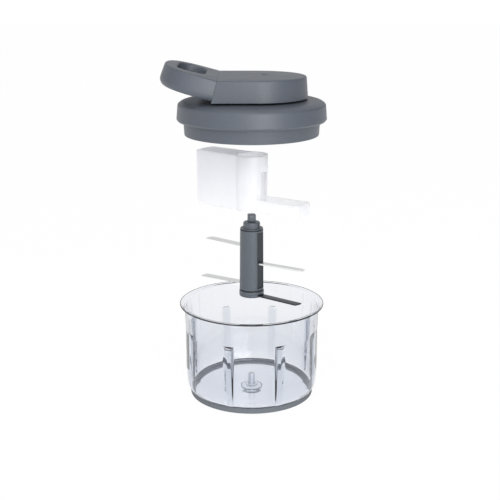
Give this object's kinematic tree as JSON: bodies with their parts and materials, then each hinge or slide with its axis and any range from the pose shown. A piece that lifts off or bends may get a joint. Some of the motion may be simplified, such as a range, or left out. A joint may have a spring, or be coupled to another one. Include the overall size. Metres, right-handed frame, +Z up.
{
  "type": "food processor",
  "caption": "Hand-pulled food processor in lifted-apart layout: clear ribbed bowl, stacked blade unit, slotted blade cover, and lid with cord reel and loop pull handle.",
  "frame": {"origin": "on the bowl's axis, at the level of the surface it stands on", "axes": "+Z up along the bowl's axis, -X towards the pull handle"},
  "size_m": [0.1408, 0.128, 0.2961],
  "materials": {
    "clear_plastic": "clear, polished",
    "soft_rubber": "matte",
    "steel": "plain",
    "blade_steel": "ground",
    "white_plastic": "satin, slightly translucent",
    "slate_plastic": "fine matte",
    "dark_plastic": "satin",
    "cord": "braided"
  },
  "bodies": {
    "bowl": {"bowl": "clear_plastic", "base_ring": "soft_rubber", "spindle_pin": "steel"},
    "bush": {"spindle_bush": "white_plastic"},
    "blade_unit": {"shaft_collar": "dark_plastic", "blade_shaft": "dark_plastic", "drive_tip": "dark_plastic", "blade_low_right": "blade_steel", "blade_low_left": "blade_steel", "blade_mid_right": "blade_steel", "blade_top_left": "blade_steel"},
    "cover": {"blade_cover": "white_plastic"},
    "lid": {"lid": "slate_plastic", "lid_seal": "soft_rubber", "lid_under_plate": "dark_plastic", "plate_screw_1": "steel", "plate_screw_2": "steel", "plate_screw_3": "steel", "spring_cup": "dark_plastic", "return_spring": "steel", "housing_neck": "dark_plastic", "housing_shell": "slate_plastic", "vent_plug": "soft_rubber", "cord_eyelet": "steel", "reel_axle": "steel", "cord_lead": "cord"},
    "reel": {"cord_reel": "white_plastic", "wound_cord": "cord", "ratchet_wheel": "steel", "pawl_1": "steel", "pawl_2": "steel", "drive_socket": "dark_plastic"},
    "pull_handle": {"handle_grip": "slate_plastic", "handle_plate": "dark_plastic", "handle_screw_1": "steel", "handle_screw_2": "steel", "handle_screw_3": "steel", "handle_screw_4": "steel", "cord_stop": "steel", "pull_cord": "cord"}
  },
  "joints": [
    {"name": "lid_lift", "type": "slide", "parent": "bowl", "child": "lid", "axis": [0, 0, 1], "range_m": [-0.1625, 0]},
    {"name": "blade_lift", "type": "slide", "parent": "bowl", "child": "bush", "axis": [0, 0, 1], "range_m": [-0.085, 0]},
    {"name": "blade_spin", "type": "hinge", "parent": "bush", "child": "blade_unit", "pos_m": [0, 0, 0.0905], "axis": [0, 0, 1], "continuous": true},
    {"name": "cover_lift", "type": "slide", "parent": "blade_unit", "child": "cover", "axis": [0, 0, 1], "range_m": [-0.0785, 0]},
    {"name": "handle_pull", "type": "slide", "parent": "lid", "child": "pull_handle", "axis": [-0.9659, 0, 0.2588], "range_m": [0, 0.3], "stiffness_N_per_m": 20, "springref_m": -0.2},
    {"name": "reel_spin", "type": "hinge", "parent": "lid", "child": "reel", "pos_m": [0, 0, 0.25], "axis": [0, 0, 1], "range_deg": [0, 1080]}
  ],
  "couplings": [
    {"joint": "blade_lift", "follows": "lid_lift", "ratio": 0.52308},
    {"joint": "cover_lift", "follows": "lid_lift", "ratio": 0.48308},
    {"joint": "reel_spin", "follows": "handle_pull", "rad_per_m": 62.832}
  ]
}
